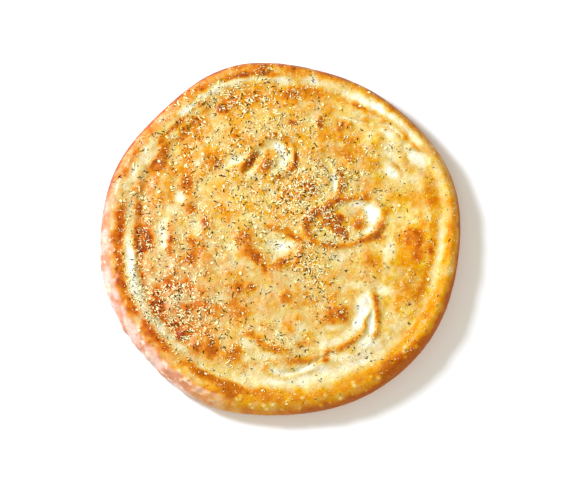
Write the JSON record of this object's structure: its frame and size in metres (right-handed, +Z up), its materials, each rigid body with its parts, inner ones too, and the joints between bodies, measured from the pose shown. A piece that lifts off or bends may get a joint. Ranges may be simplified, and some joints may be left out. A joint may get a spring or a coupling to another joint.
{
  "type": "focaccia",
  "caption": "Round flat bread with a raised browned rim, a dimpled and folded golden top, and a scattering of grated hard cheese and dried herbs.",
  "frame": {"origin": "centre of the flat underside, below the middle of the bread's width and depth", "axes": "+Z up out of the top crust, +X to the right of the bread as it is shown, +Y to its far side"},
  "size_m": [0.3014, 0.3002, 0.027],
  "materials": {
    "baked_crust": "golden baked crust with a thin shine of oil, cream in the hollows and brown on the crests",
    "grated_cheese": "dry, finely grated hard cheese, pale cream",
    "dried_herb": "crumbled dried herb leaf and stem, dark olive green"
  },
  "bodies": {
    "root": {"focaccia": "baked_crust"}
  },
  "joints": []
}
